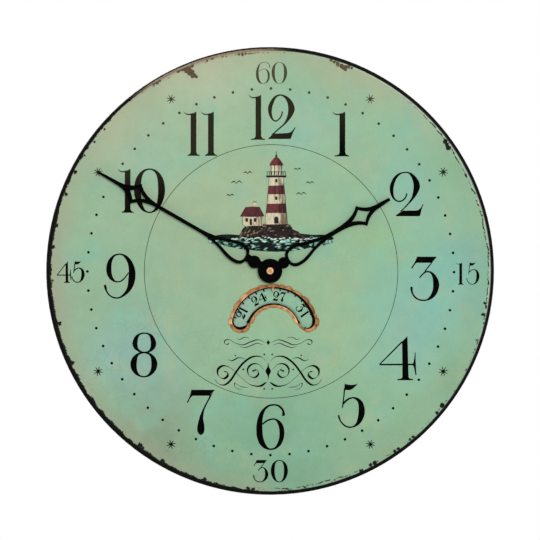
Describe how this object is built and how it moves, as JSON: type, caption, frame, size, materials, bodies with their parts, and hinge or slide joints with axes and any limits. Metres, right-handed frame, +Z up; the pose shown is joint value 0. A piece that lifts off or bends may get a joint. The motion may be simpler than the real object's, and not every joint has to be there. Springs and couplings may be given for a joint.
{
  "type": "round wall clock with date window",
  "caption": "Round wall clock with a painted dial, pierced black hands and a date disc read through an arched window, driven by a geared battery movement inside a rear hoop.",
  "frame": {"origin": "on the axis of the hands, in the plane of the wall that the hoop's back rests on", "axes": "+Z up, +X to the viewer's right, the dial faces -Y, +Y points into the wall"},
  "size_m": [0.3599, 0.0421, 0.36],
  "materials": {
    "board_black": "fibreboard with black satin paint, worn at the edge",
    "dial_paint": "thin sheet with aged mint-green satin paint",
    "copper": "aged copper",
    "hoop_wood": "plain fibreboard, sealed",
    "screw_steel": "zinc-plated steel",
    "hanger_steel": "yellow zinc-plated steel",
    "case_plastic": "black moulded plastic",
    "cover_plastic": "black moulded plastic",
    "gasket_rubber": "soft black rubber",
    "bush_brass": "turned brass",
    "motor_steel": "bright lamination steel",
    "bobbin_plastic": "natural plastic",
    "winding_copper": "enamelled copper wire",
    "rotor_plastic": "magnet in plastic",
    "circuit": "green laminate with a black potted chip",
    "battery_skin": "plain sleeved cell",
    "contact_steel": "nickel-plated spring steel",
    "gear_plastic": "natural acetal",
    "knob_plastic": "grey moulded plastic",
    "date_paint": "thin disc with mint-blue paint",
    "hand_black": "stamped sheet with black satin lacquer",
    "collet_brass": "darkened brass",
    "nut_copper": "polished copper"
  },
  "bodies": {
    "clock": {"dial_board": "board_black", "dial_plate": "dial_paint", "date_frame": "copper", "rear_hoop": "hoop_wood", "hoop_screws": "screw_steel", "keyhole_hanger": "hanger_steel", "hanger_screws": "screw_steel", "movement_case": "case_plastic", "movement_cover": "cover_plastic", "cover_screws": "screw_steel", "rubber_gasket": "gasket_rubber", "threaded_bush": "bush_brass", "bush_washer": "hanger_steel", "bush_nut": "bush_brass", "stator": "motor_steel", "coil_core": "motor_steel", "coil_bobbin": "bobbin_plastic", "coil_winding": "winding_copper", "circuit_board": "circuit", "crystal_can": "screw_steel", "battery": "battery_skin", "contact_plus": "contact_steel", "contact_minus": "contact_steel", "date_post": "bush_brass", "idler_posts": "bush_brass", "date_clip": "contact_steel", "idler_clips": "contact_steel"},
    "minute": {"centre_wheel": "gear_plastic", "minute_collet": "collet_brass", "minute_hand": "hand_black", "hand_nut": "nut_copper"},
    "hour": {"hour_wheel": "gear_plastic", "date_pinion": "gear_plastic", "hour_collet": "collet_brass", "hour_hand": "hand_black"},
    "setting": {"minute_wheel": "gear_plastic", "set_knob": "knob_plastic"},
    "third": {"third_wheel": "gear_plastic"},
    "fourth": {"fourth_wheel": "gear_plastic"},
    "step": {"step_wheel": "gear_plastic"},
    "rotor": {"rotor": "rotor_plastic"},
    "idler_one": {"first_idler": "gear_plastic"},
    "idler_two": {"second_idler": "gear_plastic"},
    "date": {"date_gear": "gear_plastic", "date_disc": "date_paint"}
  },
  "joints": [
    {"name": "minute_spin", "type": "hinge", "parent": "clock", "child": "minute", "pos_m": [0, -0.02, 0], "axis": [0, 1, 0], "continuous": true},
    {"name": "hour_spin", "type": "hinge", "parent": "clock", "child": "hour", "pos_m": [0, -0.02, 0], "axis": [0, 1, 0], "continuous": true},
    {"name": "setting_spin", "type": "hinge", "parent": "clock", "child": "setting", "pos_m": [0.01043, -0.02, -0.0028], "axis": [0, 1, 0], "continuous": true},
    {"name": "third_spin", "type": "hinge", "parent": "clock", "child": "third", "pos_m": [-0.0092, -0.02, 0.00531], "axis": [0, 1, 0], "continuous": true},
    {"name": "fourth_spin", "type": "hinge", "parent": "clock", "child": "fourth", "pos_m": [-0.00342, -0.02, 0.01221], "axis": [0, 1, 0], "continuous": true},
    {"name": "step_spin", "type": "hinge", "parent": "clock", "child": "step", "pos_m": [0.0053, -0.02, 0.01297], "axis": [0, 1, 0], "continuous": true},
    {"name": "rotor_spin", "type": "hinge", "parent": "clock", "child": "rotor", "pos_m": [0.0105, -0.02, 0.01597], "axis": [0, 1, 0], "continuous": true},
    {"name": "idler_one_spin", "type": "hinge", "parent": "clock", "child": "idler_one", "pos_m": [-0.00686, -0.02, -0.01188], "axis": [0, 1, 0], "continuous": true},
    {"name": "idler_two_spin", "type": "hinge", "parent": "clock", "child": "idler_two", "pos_m": [-0.00811, -0.02, -0.02973], "axis": [0, 1, 0], "continuous": true},
    {"name": "date_spin", "type": "hinge", "parent": "clock", "child": "date", "pos_m": [0.003, -0.02, -0.0474], "axis": [0, 1, 0], "continuous": true}
  ],
  "couplings": [
    {"joint": "hour_spin", "follows": "minute_spin", "ratio": 0.083333},
    {"joint": "setting_spin", "follows": "minute_spin", "ratio": -0.33333},
    {"joint": "third_spin", "follows": "minute_spin", "ratio": -7.5},
    {"joint": "fourth_spin", "follows": "minute_spin", "ratio": 60},
    {"joint": "step_spin", "follows": "minute_spin", "ratio": -360},
    {"joint": "rotor_spin", "follows": "minute_spin", "ratio": 1800},
    {"joint": "idler_one_spin", "follows": "minute_spin", "ratio": -0.040323},
    {"joint": "idler_two_spin", "follows": "minute_spin", "ratio": 0.0080645},
    {"joint": "date_spin", "follows": "minute_spin", "ratio": -0.0013441}
  ]
}
